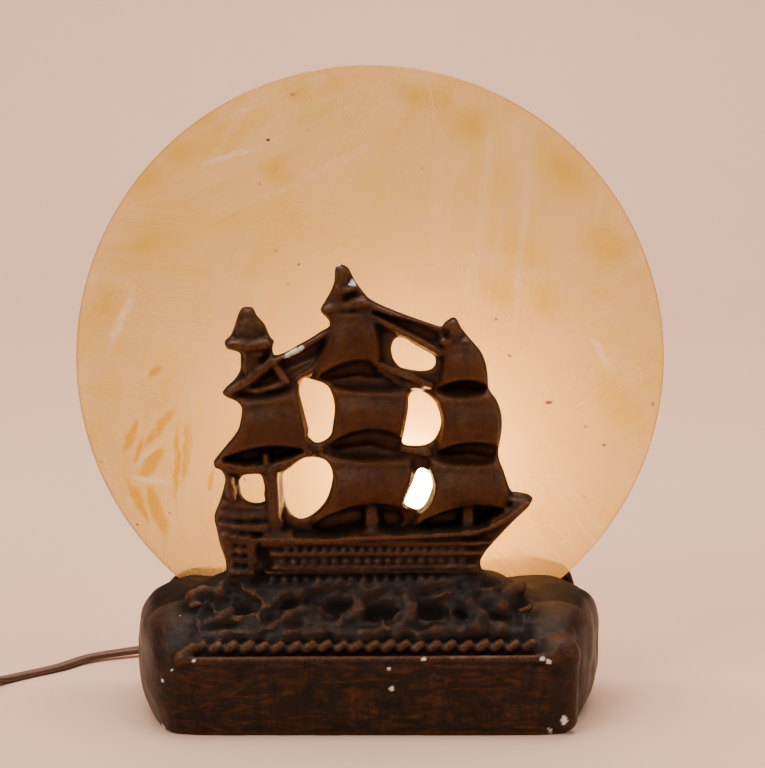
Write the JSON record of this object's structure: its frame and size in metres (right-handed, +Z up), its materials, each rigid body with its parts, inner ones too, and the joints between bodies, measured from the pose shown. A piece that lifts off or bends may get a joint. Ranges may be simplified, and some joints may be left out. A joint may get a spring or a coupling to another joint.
{
  "type": "television lamp",
  "caption": "Cast plaster sailing ship lamp with a bulb behind the ship and an upright translucent amber disc standing in a slot, on a flat lead",
  "frame": {"origin": "centre of the bottom of the lamp's own bounding box, without the cord and what is on it", "axes": "+X to the ship's bow, which is the viewer's right; +Y to the back, towards the disc; +Z up. The ship's side faces -Y"},
  "size_m": [0.411, 0.1447, 0.2673],
  "materials": {
    "bronze_paint": "cast plaster painted dark bronze, satin, rubbed lighter on the high spots and chipped white",
    "amber_sheet": "translucent straw and amber sheet with pale streaks",
    "bulb_glass": "inside-frosted glass, lit warm white",
    "stem_glass": "clear glass",
    "tungsten": "coiled tungsten, glowing when lit",
    "lead_wire": "thin bright wire",
    "cap_brass": "pressed thin brass",
    "cap_insulator": "black glass insulator",
    "solder": "dull solder",
    "socket_body": "off-white glazed porcelain",
    "shell_brass": "pressed brass, slightly dulled",
    "fibre_block": "dark vulcanised fibre",
    "spring_brass": "spring brass",
    "screw_steel": "plated steel",
    "zinc_steel": "dull zinc plate",
    "bush_rubber": "dark brown rubber",
    "cord_brown": "brown flat two-core cord, slight sheen",
    "tie_paper": "paper-covered wire tie",
    "brown_phenolic": "moulded brown phenolic",
    "plug_brown": "moulded brown plug",
    "plug_card": "plain insulating card",
    "blade_brass": "flat brass blades"
  },
  "bodies": {
    "lamp": {"ship_casting": "bronze_paint", "socket_body": "socket_body", "terminal_screw_right": "screw_steel", "terminal_screw_left": "screw_steel", "socket_shell": "shell_brass", "socket_block": "fibre_block", "centre_contact": "spring_brass", "socket_nipple": "zinc_steel", "nipple_washer": "zinc_steel", "nipple_nut": "zinc_steel", "lead_left": "cord_brown", "lead_right": "cord_brown", "cord_inside": "cord_brown", "strain_relief": "bush_rubber", "cord_out": "cord_brown", "cord_link": "cord_brown", "cord_coil": "cord_brown", "cord_tail": "cord_brown", "coil_tie": "tie_paper", "switch_lower": "brown_phenolic", "switch_upper": "brown_phenolic", "switch_screw": "screw_steel", "switch_nut": "screw_steel", "plug_body": "plug_brown", "plug_card": "plug_card", "blade_front": "blade_brass", "blade_back": "blade_brass"},
    "disc": {"disc": "amber_sheet"},
    "bulb": {"bulb_glass": "bulb_glass", "bulb_cap": "cap_brass", "cap_insulator": "cap_insulator", "tip_contact": "solder", "bulb_stem": "stem_glass", "support_left": "lead_wire", "support_right": "lead_wire", "filament": "tungsten"},
    "thumbwheel": {"switch_wheel": "brown_phenolic"}
  },
  "joints": [
    {"name": "disc_lift", "type": "slide", "parent": "lamp", "child": "disc", "axis": [0, 0, 1], "range_m": [0, 0.245]},
    {"name": "bulb_out", "type": "slide", "parent": "lamp", "child": "bulb", "axis": [0, 0, 1], "range_m": [0, 0.075]},
    {"name": "wheel_turn", "type": "hinge", "parent": "lamp", "child": "thumbwheel", "pos_m": [-0.17909, -0.00271, 0.0065], "axis": [0, 0, 1], "continuous": true}
  ]
}
